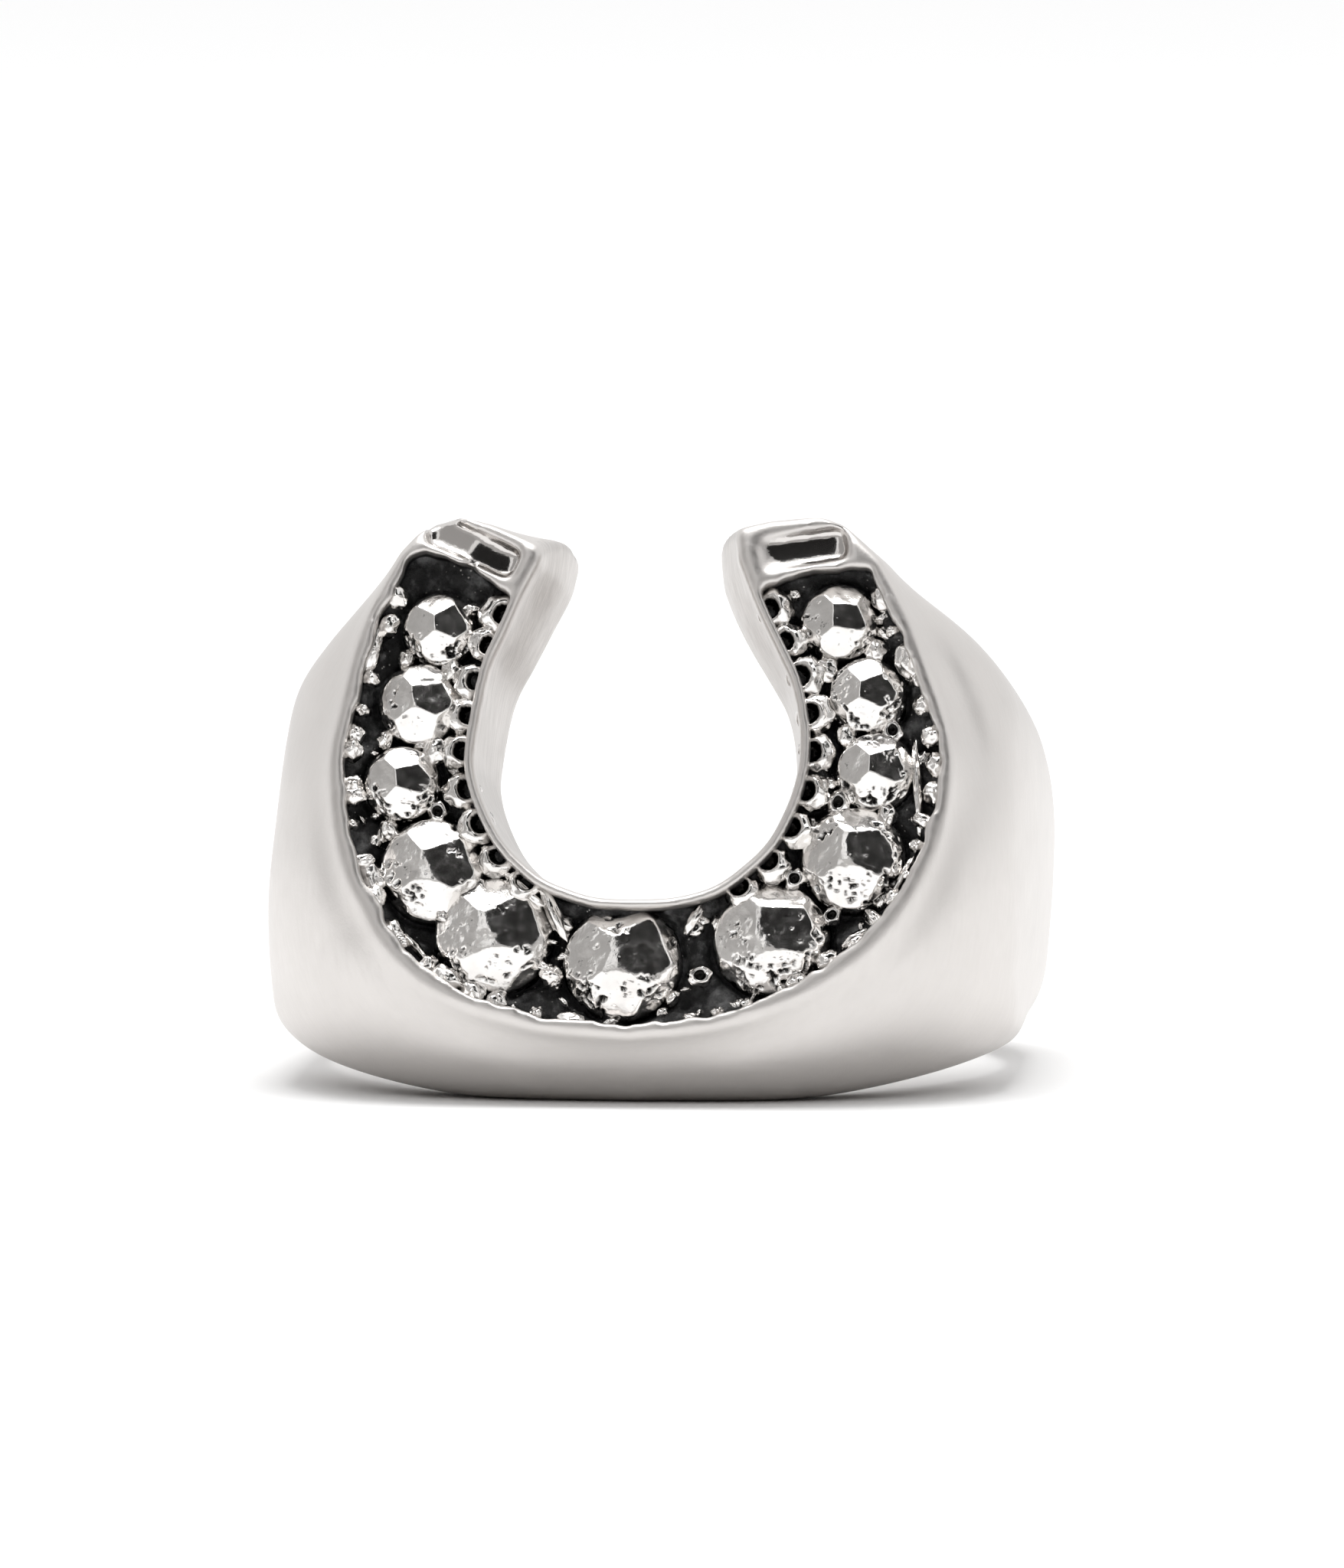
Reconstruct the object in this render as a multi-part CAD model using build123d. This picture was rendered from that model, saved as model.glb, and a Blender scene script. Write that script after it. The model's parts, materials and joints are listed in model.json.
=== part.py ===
"""A man's finger ring whose face is a horseshoe set with eleven faceted stones.

The ring is drawn upright in its own frame, then leaned back onto its shank as it lies on a table:
X runs across the finger, -Y points out of the horseshoe's face and Z runs along the finger.
"""
from build123d import *
import os
from math import atan2, degrees

# ---- Driving dimensions, mm ----
BORE_RADIUS = 9.9                 # finger hole of a US size 10 ring
SHANK_THICKNESS = 1.7             # at the back of the finger
SHANK_TOP = 1.4                   # edges of the shank at the back, above and
SHANK_BOTTOM = 2.3                # below the ring's middle
SIDE_HALF_WIDTH = 11.85           # widest point of the shoulders
SIDE_WIDEST_Y = -4.3
FACE_Y = -13.7                    # plane of the horseshoe's rims
FACE_HALF_WIDTH = 9.4
HEAD_HALF_HEIGHT = 8.6            # from the ring's middle to the sole under the toe
EDGE_ROUNDING = 0.8               # along the shank and shoulders

# A horseshoe outline: half an ellipse at the toe, one arc up each branch, then the mouth.
# half_width, toe_depth, centre_z, a point half-way up the branch, and the branch's end.
GAP = (4.83, 3.97, 0.69, (4.5, 3.7), (2.82, 7.13))
RIM_INSIDE = 0.35                 # width of the rim along the gap
CHANNEL = (8.97, 7.96, 0.79, (8.22, 3.75), (6.6, 7.03))
CHANNEL_HEEL = (3.8, 5.9)         # inner end of the channel's upper edge
CHANNEL_DEPTH = 1.0
HEEL_CORNER = (5.93, 8.33)        # outer corner of each branch's end
GAP_DRAFT = 0.8                   # how much each side of the gap closes in towards the finger,
GAP_CUT_DEPTH = 8.0               # over this depth

ENAMEL_THICKNESS = 0.25
SEAT_DEPTH = 0.45                 # below the channel's floor
SEAT_CLEARANCE = 0.02

# Stones down the right branch: distance from the middle, height, diameter. The last is the toe's.
BRANCH_STONES = [(6.11, 5.17, 2.3), (6.85, 2.84, 2.3), (7.23, 0.47, 2.3), (6.49, -2.20, 2.9), (4.15, -4.53, 3.3)]
TOE_STONE = (0.0, -5.40, 3.3)
GIRDLE_HEIGHT = 1.0               # upright side of a stone, from its seat
CROWN_FACETS = 7
STONE_TURN = 23                   # degrees from one stone's facets to the next one's

INNER_BEAD_RADIUS = 0.40          # beads along the gap's rim
INNER_BEAD_PITCH = 0.95
OUTER_BEAD_RADIUS = 0.36          # beads along the channel's outer wall
OUTER_BEAD_PITCH = 1.22
GRAIN_RADIUS = 0.34               # grains that hold neighbouring stones
GRAIN_SIDESTEP = 0.6              # least distance of a grain from the line between its stones
SMALLEST_BEAD_RADIUS = 0.18
BEAD_CLEARANCE = 0.03

BASE = (Align.CENTER, Align.CENTER, Align.MIN)
CHANNEL_FLOOR_Y = FACE_Y + CHANNEL_DEPTH
ENAMEL_TOP_Y = CHANNEL_FLOOR_Y - ENAMEL_THICKNESS
SEAT_FLOOR_Y = CHANNEL_FLOOR_Y + SEAT_DEPTH
SHANK_BACK_Y = BORE_RADIUS + SHANK_THICKNESS
# The ring rests on the bore's lower front edge and on the lower edge of the shank's back.
LEAN = degrees(atan2(HEAD_HALF_HEIGHT - SHANK_BOTTOM, SHANK_BACK_Y + BORE_RADIUS))


def front_plane(y):
    """Sketch plane seen from the front: its x is X, its y is Z, and it faces -Y."""
    return Plane(origin=(0, y, 0), x_dir=(1, 0, 0), z_dir=(0, -1, 0))


def plan_blank():
    """Right half seen along the finger: round shank, swelling shoulder and flat face."""
    shank = [Vector(SHANK_BACK_Y, 0).rotate(Axis.Z, angle) for angle in (90, 52, 14)]
    outer = Spline(*shank, (SIDE_HALF_WIDTH, SIDE_WIDEST_Y), (11.2, -9.2), (FACE_HALF_WIDTH, FACE_Y),
                   tangents=[(1, 0), (-0.62, -1)])
    face = Polyline(outer @ 1, (0, FACE_Y), outer @ 0)
    reach = HEAD_HALF_HEIGHT + 1
    return extrude(Pos(0, 0, -reach) * make_face([outer, face]), 2 * reach)


def side_blank():
    """Seen from the side: tall at the head, low at the back, with a flat sole under the toe."""
    front_y = FACE_Y - 1
    back_y = SHANK_BACK_Y + 1
    top = Spline((front_y, HEAD_HALF_HEIGHT + 0.3), (-9.2, 7.35), (-3.1, 4.75), (5.0, 2.2), (back_y, SHANK_TOP),
                 tangents=[(1, -0.1), (1, -0.02)])
    under = Spline((back_y, -SHANK_BOTTOM), (-0.5, -4.35), (-6.9, -7.1), (-BORE_RADIUS, -HEAD_HALF_HEIGHT),
                   tangents=[(-1, -0.05), (-1, -0.45)])
    ends = [Line(top @ 1, under @ 0), Line((front_y, -HEAD_HALF_HEIGHT), top @ 0)]
    sole = Line(under @ 1, (front_y, -HEAD_HALF_HEIGHT))
    outline = Plane.YZ * make_face([top, under, sole, *ends])
    return extrude(outline, SIDE_HALF_WIDTH + 1)


def front_blank():
    """Right half seen from the front: sloping heel, full shoulder and the curve under the toe."""
    outer = Spline(HEEL_CORNER, (7.6, 6.85), (10.7, 4.1), (SIDE_HALF_WIDTH, -1.0), (11.2, -5.6), (9.0, -7.4),
                   (5.0, -8.4), (0, -HEAD_HALF_HEIGHT - 0.1), tangents=[(1, -0.3), (-1, 0)])
    heel = Polyline(outer @ 1, (0, GAP[4][1]), GAP[4], HEEL_CORNER)
    return extrude(front_plane(SHANK_BACK_Y + 1) * make_face([outer, heel]), SHANK_BACK_Y - FACE_Y + 2)


def horseshoe_outline(shape, top):
    """Right arc, left arc and toe of a horseshoe, with the mouth carried straight up to top."""
    half_width, toe_depth, centre_z, middle, end = shape
    toe = EllipticalCenterArc((0, centre_z), half_width, toe_depth, start_angle=180, arc_size=180)
    right = ThreePointArc((half_width, centre_z), middle, end)
    left = mirror(right, Plane.YZ)
    mouth = Polyline(end, (end[0], top), (-end[0], top), (-end[0], end[1]))
    return make_face([toe, right, mouth, left])


def narrowed(shape, amount):
    """The same horseshoe with its walls moved in by amount."""
    half_width, toe_depth, centre_z, middle, end = shape
    return (half_width - amount, toe_depth - amount, centre_z,
            (middle[0] - amount, middle[1]), (end[0] - amount, end[1]))


def gap_cutter():
    """The horseshoe's open middle, drafted, through the head into the finger hole."""
    top = HEAD_HALF_HEIGHT + 4
    front = front_plane(FACE_Y) * horseshoe_outline(GAP, top)
    back = front_plane(FACE_Y + GAP_CUT_DEPTH) * horseshoe_outline(narrowed(GAP, GAP_DRAFT), top)
    return loft([front, back])


def channel_sketch():
    """Area of the sunk channel: between the two rims, ending below the heels."""
    outer = horseshoe_outline(CHANNEL, HEAD_HALF_HEIGHT)
    inner = horseshoe_outline(narrowed(GAP, -RIM_INSIDE), HEAD_HALF_HEIGHT + 4)
    end = CHANNEL[4]
    heels = make_face(Polyline(end, CHANNEL_HEEL, (-CHANNEL_HEEL[0], CHANNEL_HEEL[1]), (-end[0], end[1]),
                               (-end[0], HEAD_HALF_HEIGHT + 1), (end[0], HEAD_HALF_HEIGHT + 1), end))
    return outer - inner - heels


def stone_places():
    """Every stone's node name, place and diameter."""
    places = {"stone_toe": TOE_STONE}
    for number, (across, height, diameter) in enumerate(BRANCH_STONES, start=1):
        places[f"stone_right_{number}"] = (across, height, diameter)
        places[f"stone_left_{number}"] = (-across, height, diameter)
    return places


def stone(diameter):
    """A rose-cut stone on +Z: round girdle, steep lower facets, flatter upper facets, small table."""
    radius = diameter / 2
    steep_height = 0.30 * radius
    girdle = extrude(Circle(radius), GIRDLE_HEIGHT)
    steep = extrude(Pos(0, 0, GIRDLE_HEIGHT) * RegularPolygon(radius, CROWN_FACETS), steep_height, taper=42)
    top = steep.faces().sort_by(Axis.Z)[-1]
    flat = extrude(top, 0.16 * radius, taper=62)
    return girdle + steep + flat


def ring_body(channel, places):
    """Shank, shoulders and head in one casting, with the channel and the stones' seats."""
    half = plan_blank() & side_blank() & front_blank()
    shoulder = half.edges().filter_by(lambda edge: edge.center().X > 7 and edge.center().Y > -9
                                      and edge.center().Z > -6)
    face_side = half.edges().filter_by(Axis.Z).sort_by(Axis.X)[-1]
    half = fillet([*shoulder, face_side], EDGE_ROUNDING)
    body = half + mirror(half, Plane.YZ)
    body -= Cylinder(BORE_RADIUS, 4 * HEAD_HALF_HEIGHT) + gap_cutter()
    body -= extrude(front_plane(FACE_Y - 1) * channel, -(CHANNEL_DEPTH + 1))
    return body - stone_holes(SEAT_FLOOR_Y, SEAT_DEPTH + CHANNEL_DEPTH, places)


def stone_holes(start_y, depth, places):
    """Round holes for all the stones, from start_y out towards the face."""
    circles = Sketch() + [Pos(across, height) * Circle(diameter / 2 + SEAT_CLEARANCE)
                          for across, height, diameter in places.values()]
    return extrude(front_plane(start_y) * circles, depth)


def channel_enamel(channel, places):
    """Black enamel on the channel's floor, around the stones."""
    return (extrude(front_plane(CHANNEL_FLOOR_Y) * channel, ENAMEL_THICKNESS)
            - stone_holes(CHANNEL_FLOOR_Y, ENAMEL_THICKNESS, places))


def domes(discs):
    """Half-round beads standing on the enamel, each a separate solid."""
    ground = front_plane(ENAMEL_TOP_Y).location
    return Compound([ground * (Pos(point.X, point.Y) * Sphere(radius, arc_size1=0, align=BASE)).solid()
                     for point, radius in discs])


def bead_row(shape, wall_offset, bead_radius, pitch, neighbours):
    """Beads at an even pitch along a horseshoe's wall, smaller where a neighbour comes close."""
    half_width, toe_depth, centre_z, middle, end = narrowed(shape, wall_offset)
    right = ThreePointArc(end, middle, (half_width, centre_z))
    toe = EllipticalCenterArc((0, centre_z), half_width, toe_depth, start_angle=0, arc_size=-180)
    row = (right + toe + mirror(right, Plane.YZ)).wire()
    count = round(row.length / pitch)
    beads = []
    for number in range(count):
        point = row @ ((number + 0.5) / count)
        room = min((point - other).length - other_radius for other, other_radius in neighbours)
        radius = min(bead_radius, room - BEAD_CLEARANCE)
        if radius > SMALLEST_BEAD_RADIUS and point.Y < CHANNEL_HEEL[1] - bead_radius:
            beads.append((point, radius))
    return domes(beads)


def grain_places():
    """A grain on each side of every pair of neighbouring stones, clear of both."""
    left = [(-across, height, diameter) for across, height, diameter in BRANCH_STONES]
    chain = left + [TOE_STONE] + BRANCH_STONES[::-1]
    grains = []
    for (x_a, z_a, diameter_a), (x_b, z_b, diameter_b) in zip(chain, chain[1:]):
        start, finish = Vector(x_a, z_a), Vector(x_b, z_b)
        along = (finish - start).normalized()
        across = along.rotate(Axis.Z, 90)
        reach_a = diameter_a / 2 + GRAIN_RADIUS + BEAD_CLEARANCE
        reach_b = diameter_b / 2 + GRAIN_RADIUS + BEAD_CLEARANCE
        span = (finish - start).length
        foot = (span**2 + reach_a**2 - reach_b**2) / (2 * span)
        sidestep = max(reach_a**2 - foot**2, GRAIN_SIDESTEP**2) ** 0.5
        for side in (1, -1):
            grains.append((start + along * foot + across * side * sidestep, GRAIN_RADIUS))
    return grains


def build_pieces():
    """Every node of the ring, upright."""
    channel = channel_sketch()
    places = stone_places()
    grains = grain_places()
    neighbours = grains + [(Vector(across, height), diameter / 2) for across, height, diameter in places.values()]
    pieces = {
        "ring_body": ring_body(channel, places),
        "channel_enamel": channel_enamel(channel, places),
        "inner_beads": bead_row(GAP, -(RIM_INSIDE + INNER_BEAD_RADIUS + BEAD_CLEARANCE),
                                INNER_BEAD_RADIUS, INNER_BEAD_PITCH, neighbours),
        "outer_beads": bead_row(CHANNEL, OUTER_BEAD_RADIUS + BEAD_CLEARANCE,
                                OUTER_BEAD_RADIUS, OUTER_BEAD_PITCH, neighbours),
        "setting_grains": domes(grains),
    }
    for number, (name, (across, height, diameter)) in enumerate(places.items()):
        turn = Rot(0, 0, number * STONE_TURN)
        pieces[name] = front_plane(SEAT_FLOOR_Y).location * Pos(across, height) * turn * stone(diameter)
    return pieces


def laid_on_table(pieces):
    """The pieces leaned back on the shank, standing on Z = 0 and centred over the origin."""
    leaned = {name: Rot(-LEAN, 0, 0) * piece for name, piece in pieces.items()}
    box = Compound([solid for piece in leaned.values() for solid in piece.solids()]).bounding_box()
    place = Pos(-box.center().X, -box.center().Y, -box.min.Z)
    return {name: place * piece for name, piece in leaned.items()}


def main():
    os.makedirs("parts", exist_ok=True)
    for name, piece in laid_on_table(build_pieces()).items():
        export_step(piece, f"parts/{name}.step")


if __name__ == "__main__":
    main()
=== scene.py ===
"""The look of a cast silver horseshoe ring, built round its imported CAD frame.

Shapes are worked out in the ring's own frame, in millimetres: X across the horseshoe, -Y out of its
face, Z from the toe towards the open end, with the origin at the centre of the finger hole. laid()
turns them into the row frame, in metres, where the ring lies leaning back on its sole.
"""
import json
import math

import bpy
import numpy as np
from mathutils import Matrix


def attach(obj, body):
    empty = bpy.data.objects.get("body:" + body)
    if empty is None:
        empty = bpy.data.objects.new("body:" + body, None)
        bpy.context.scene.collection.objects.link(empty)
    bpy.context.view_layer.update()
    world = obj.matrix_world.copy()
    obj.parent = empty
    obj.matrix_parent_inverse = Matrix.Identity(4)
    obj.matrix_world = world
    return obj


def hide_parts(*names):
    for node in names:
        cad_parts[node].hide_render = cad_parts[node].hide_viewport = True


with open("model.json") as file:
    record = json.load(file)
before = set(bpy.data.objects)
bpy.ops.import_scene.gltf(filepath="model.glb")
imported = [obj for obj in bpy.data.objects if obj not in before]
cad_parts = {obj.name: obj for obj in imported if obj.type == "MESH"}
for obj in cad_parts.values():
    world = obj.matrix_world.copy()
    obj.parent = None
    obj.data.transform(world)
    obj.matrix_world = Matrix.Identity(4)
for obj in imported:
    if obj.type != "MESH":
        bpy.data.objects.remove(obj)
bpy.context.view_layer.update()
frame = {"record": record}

import openvdb
from mathutils import Vector

MM = 0.001

# The finger hole gives the ring's place and lean. Its own middle lies a little below the ring's.
bore = next(m for m in frame["record"]["mounts"] if m["name"] == "finger_bore")
BORE_RADIUS = bore["dims"]["r_mm"]
BORE_MIDDLE_Z = -0.61
FINGER_AXIS = np.array(bore["axis"])
RING_CENTRE = np.array(bore["pos_m"]) / MM - FINGER_AXIS * BORE_MIDDLE_Z
BACKWARD = np.array([0.0, FINGER_AXIS[2], -FINGER_AXIS[1]])

# Sizes of the casting, in millimetres.
FACE_Y = -13.7               # plane of the horseshoe's rims
HEAD_BACK_Y = -9.5           # where the heels' blocks end
SHANK_RADIUS = 11.6          # before SHOULDER_FULLNESS is added
RIM_WIDTH = 0.3              # outer rim, beyond the channel
INNER_RIM = 0.3              # rim along the gap
CHANNEL_DEPTH = 1.35
BED_DEPTH = 1.02             # from the face to the middle of the channel's rough floor
BED_BOTTOM_Y = -12.25        # just under the channel's cut floor
GAP_DRAFT = 0.1              # how much the gap's walls close in with depth
HEAD_DRAFT = 0.04            # how much the head spreads with depth
SHOULDER_FULLNESS = 0.28     # added all round the shank and shoulders
SHOULDER_ROUNDING = 1.6

CASTING_STEP = 0.11
BED_STEP = 0.07

# Half outlines seen from the front, from the toe to the heel, and then the end of each branch.
GAP_RIGHT = [(0.0, -3.28), (1.3, -3.2), (2.5, -2.85), (3.45, -2.15), (4.1, -1.45), (4.56, -0.56),
             (4.85, 0.3), (4.97, 1.17), (4.92, 2.18), (4.66, 3.35), (4.25, 4.25), (3.6, 5.6), (3.0, 7.1)]
GAP_LEFT = [(0.0, -3.28), (-1.03, -3.22), (-1.9, -2.97), (-2.7, -2.6), (-3.52, -1.9), (-4.0, -1.27),
            (-4.45, -0.37), (-4.72, 0.43), (-4.8, 1.23), (-4.58, 2.78), (-4.35, 3.85), (-3.94, 4.8),
            (-3.45, 5.99), (-2.95, 7.0)]
GAP_END_RIGHT = [(2.8, 8.6), (2.7, 12)]
GAP_END_LEFT = [(-2.6, 8.6), (-2.4, 12)]
OUTER_RIGHT = [(0.0, -7.1), (2.2, -6.85), (4.05, -6.3), (5.6, -5.5), (7.0, -4.35), (8.0, -3.0),
               (8.7, -1.5), (9.12, 0.0), (9.2, 1.2), (8.95, 2.3), (8.1, 4.45), (7.5, 5.75), (6.95, 6.95)]
OUTER_LEFT = [(0.0, -7.1), (-2.2, -6.92), (-3.4, -6.65), (-4.7, -6.24), (-5.9, -5.6), (-6.9, -4.6),
              (-7.5, -3.6), (-8.0, -2.65), (-8.4, -1.3), (-8.62, 0.1), (-8.65, 1.2), (-8.4, 2.4),
              (-7.9, 4.7), (-6.9, 7.1)]
CHANNEL_END_RIGHT = [(6.0, 6.86), (5.0, 6.66), (3.9, 6.24), (3.1, 5.9)]
CHANNEL_END_LEFT = [(-6.4, 7.3), (-5.74, 7.1), (-5.05, 6.83), (-4.5, 6.46), (-3.95, 6.0), (-3.2, 5.6)]
HEEL_RIGHT = [(6.45, 7.5), (5.95, 8.0), (5.4, 8.15), (4.0, 7.98), (2.9, 7.65)]
HEEL_LEFT = [(-6.5, 7.6), (-6.05, 8.0), (-5.55, 8.1), (-4.6, 7.8), (-2.8, 6.8)]

# Polished hollow in each heel: middle, half length, half width, turn in degrees, and how steeply its
# floor falls away to the left, to the right and up.
HEEL_HOLLOW_DEPTH = 0.2
HEEL_HOLLOWS = [((4.95, 7.46), 1.3, 0.52, 11, (-0.16, 0.16, 0.14)),
                ((-5.0, 7.5), 1.45, 0.5, -25, (0.32, 0.2, 0.12))]

# Stones: middle seen from the front and radius, from the toe up each branch.
TOE_STONE = (-0.25, -5.05, 1.8)
RIGHT_STONES = [(4.2, -4.35, 1.78), (6.58, -1.88, 1.62), (7.2, 0.8, 1.22), (6.9, 3.1, 1.2),
                (6.02, 5.35, 1.2)]
LEFT_STONES = [(-4.15, -4.28, 1.82), (-6.03, -2.3, 1.6), (-7.0, 0.33, 1.18), (-6.52, 2.76, 1.28),
               (-6.0, 5.05, 1.14)]
ALL_STONES = [TOE_STONE, *RIGHT_STONES, *LEFT_STONES]
STONE_PROUD = 0.12           # how far a crown stands out of the face, before its facets are cut
STONE_SKIRT = 0.8            # hidden upright side under the crown

# Facets cut on a stone: azimuth, elevation, how far each may stray, in degrees, and how much of the
# crown is left under the cut.
FACETS = [(-27, 4, 3, 3, 0.93), (16, 6, 3, 3, 0.92), (2, -30, 9, 3, 0.93), (4, 34, 9, 3, 0.94),
          (48, 22, 6, 6, 0.98), (-50, -30, 6, 6, 0.99), (44, -36, 6, 6, 0.98)]

# Long ridges of metal between the stones and the walls: middle, direction, half length, half width.
RIDGES = [((-2.3, -3.6), (0.42, -0.9), 1.0, 0.24), ((1.9, -3.75), (0.5, 0.85), 0.55, 0.2),
          ((6.75, -4.35), (0.8, 0.6), 0.55, 0.22), ((-6.45, -4.7), (0.65, -0.75), 0.6, 0.16),
          ((8.5, 0.3), (-0.08, 1.0), 1.5, 0.15), ((8.15, -2.4), (0.45, 0.9), 0.7, 0.14),
          ((-3.2, -2.95), (0.75, -0.65), 0.85, 0.2), ((-8.0, 4.35), (0.3, 1.0), 0.8, 0.3)]


def laid(points):
    """Points of the ring's own frame, in the row frame and in metres."""
    points = np.asarray(points, float)
    across = points[:, :1] * np.array([[1.0, 0.0, 0.0]])
    return (across + points[:, 1:2] * BACKWARD + points[:, 2:3] * FINGER_AXIS + RING_CENTRE) * MM


def smooth_path(points, steps=12):
    """A Catmull-Rom curve through the points."""
    p = np.array(points, float)
    p = np.vstack([2 * p[0] - p[1], p, 2 * p[-1] - p[-2]])
    t = np.linspace(0, 1, steps, endpoint=False)[:, None]
    runs = []
    for a, b, c, d in zip(p[:-3], p[1:-2], p[2:-1], p[3:]):
        runs.append(b + 0.5 * t * (c - a + t * (2 * a - 5 * b + 4 * c - d + t * (3 * (b - c) + d - a))))
    return np.vstack(runs + [p[-2:-1]])


def outline_distance(outline, u, v):
    """Signed distance from every (u, v) to a closed outline, negative inside it."""
    u, v = np.asarray(u, np.float32), np.asarray(v, np.float32)
    nearest = np.full(np.broadcast(u, v).shape, 1e9, np.float32)
    inside = np.zeros(nearest.shape, bool)
    for (ax, ay), (bx, by) in zip(outline, np.roll(outline, -1, axis=0)):
        ex, ey = bx - ax, by - ay
        length = ex * ex + ey * ey
        if length < 1e-12:
            continue
        along = np.clip(((u - ax) * ex + (v - ay) * ey) / length, 0, 1)
        nearest = np.minimum(nearest, (u - ax - along * ex) ** 2 + (v - ay - along * ey) ** 2)
        if ay != by:
            inside ^= ((ay > v) != (by > v)) & (u < ex * (v - ay) / ey + ax)
    return np.where(inside, -1, 1) * np.sqrt(nearest)


def soft_min(a, b, width):
    """The lesser of two distances, with the crease between them filled over that width."""
    near = np.maximum(width - np.abs(a - b), 0) / width
    return np.minimum(a, b) - near * near * width * 0.25


def soft_max(a, b, width):
    """The greater of two distances, with the corner between them rounded over that width."""
    return -soft_min(-a, -b, width)


def smoothstep(low, high, x):
    """Rises smoothly from 0 at low to 1 at high."""
    t = np.clip((x - low) / (high - low), 0, 1)
    return t * t * (3 - 2 * t)


class Noise:
    """Smooth noise on a lattice of random values, from -1 to 1."""

    def __init__(self, seed, size=32):
        self.size = size
        self.values = np.random.default_rng(seed).uniform(-1, 1, (size,) * 3).astype(np.float32)

    def __call__(self, points, cell):
        p = np.asarray(points, np.float32) / np.asarray(cell, np.float32) + 1000
        base = np.floor(p).astype(int)
        f = smoothstep(0, 1, p - base)
        total = 0
        for corner in np.ndindex(2, 2, 2):
            i, j, k = ((base + corner) % self.size).T
            weight = np.prod(np.where(np.array(corner), f, 1 - f), axis=1)
            total = total + weight * self.values[i, j, k]
        return total


class Grid:
    """A block of evenly spaced points for a shape given by signed distance."""

    def __init__(self, low, high, step):
        self.low, self.step = np.array(low, float), step
        counts = np.ceil((np.array(high) - self.low) / step).astype(int) + 1
        x, y, z = [self.low[i] + step * np.arange(counts[i]) for i in range(3)]
        self.x = x[:, None, None].astype(np.float32)
        self.y = y[None, :, None].astype(np.float32)
        self.z = z[None, None, :].astype(np.float32)
        self.shape = tuple(counts)

    def in_plan(self, outline):
        return outline_distance(outline, self.x[:, :, 0], self.y[0, :, 0][None, :])[:, :, None]

    def in_side(self, outline):
        return outline_distance(outline, self.y[0, :, 0][:, None], self.z[0])[None, :, :]

    def in_front(self, outline):
        return outline_distance(outline, self.x[:, 0], self.z[0])[:, None, :]

    def surface(self, distance):
        """Points and quads of the surface where the distance is zero."""
        field = openvdb.FloatGrid(4 * self.step)
        distance = np.broadcast_to(distance, self.shape)
        field.copyFromArray(np.ascontiguousarray(distance, dtype=np.float32))
        points, quads = field.convertToQuads(isovalue=0.0)
        return self.low + points * self.step, quads[:, ::-1]


def relaxed(points, quads, rounds=3):
    """The points of a closed surface with the ripple of its grid smoothed away."""
    here, there = quads.ravel(), np.roll(quads, -1, axis=1).ravel()
    neighbours = np.bincount(here, minlength=len(points))
    for _ in range(rounds):
        sums = [np.bincount(here, weights=column, minlength=len(points)) for column in points[there].T]
        points = 0.5 * points + 0.5 * np.stack(sums, -1) / neighbours[:, None]
    return points


def outward(azimuth, elevation):
    """A direction by its degrees: azimuth 0 is straight out of the front and 90 is to the right."""
    a, e = math.radians(azimuth), math.radians(elevation)
    return np.array([math.sin(a) * math.cos(e), -math.cos(a) * math.cos(e), math.sin(e)])


def new_piece(name, points, faces, look, stands_for):
    """A mesh piece from points in the ring's own frame, riding on the ring in a CAD node's stead."""
    mesh = bpy.data.meshes.new(name)
    mesh.from_pydata(laid(points), [], list(map(list, faces)))
    mesh.validate()
    mesh.update()
    mesh.materials.append(look)
    mesh.polygons.foreach_set("use_smooth", np.full(len(mesh.polygons), True))
    piece = bpy.data.objects.new(name, mesh)
    bpy.context.scene.collection.objects.link(piece)
    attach(piece, "root")
    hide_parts(stands_for)
    return piece


def paint(piece, name, values):
    """Stores one number for each point of the piece, for its material to read."""
    mask = piece.data.attributes.new(name, "FLOAT", "POINT")
    mask.data.foreach_set("value", np.asarray(values, np.float32))


# ---------------------------------------------------------------- outlines

def plan_outline():
    """Seen along the finger: round behind and fuller at the shoulders."""
    start = math.radians(14)
    turns = np.linspace(math.pi / 2, start, 24)
    back = SHANK_RADIUS * np.column_stack([np.cos(turns), np.sin(turns)])
    front = smooth_path([back[-1], (11.95, -1.2), (12.0, -4.3), (11.75, -7.4), (11.2, -10.2),
                         (10.2, -13.2), (9.0, -15.5)])
    right = np.vstack([back, front[1:]])
    left = right[::-1] * [-1, 1]
    return np.vstack([right, left[:-1]])


def side_outline():
    """Seen from the side: a low shank that climbs to the face, over a flat sole."""
    top = smooth_path([(12.6, 1.1), (9.0, 1.25), (5.0, 2.1), (0.5, 3.5), (-3.1, 4.75), (-6.3, 6.1),
                       (-9.2, 7.35), (-12.0, 8.1), (-14.7, 8.5)])
    under = smooth_path([(-15.0, -5.6), (-14.35, -6.6), (-13.6, -7.45), (-12.6, -8.35), (-11.2, -8.85),
                         (-9.6, -8.65), (-6.9, -7.0), (-3.7, -5.5), (-0.5, -4.2), (5.5, -2.8),
                         (12.6, -2.05)])
    return np.vstack([top, under])


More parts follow.
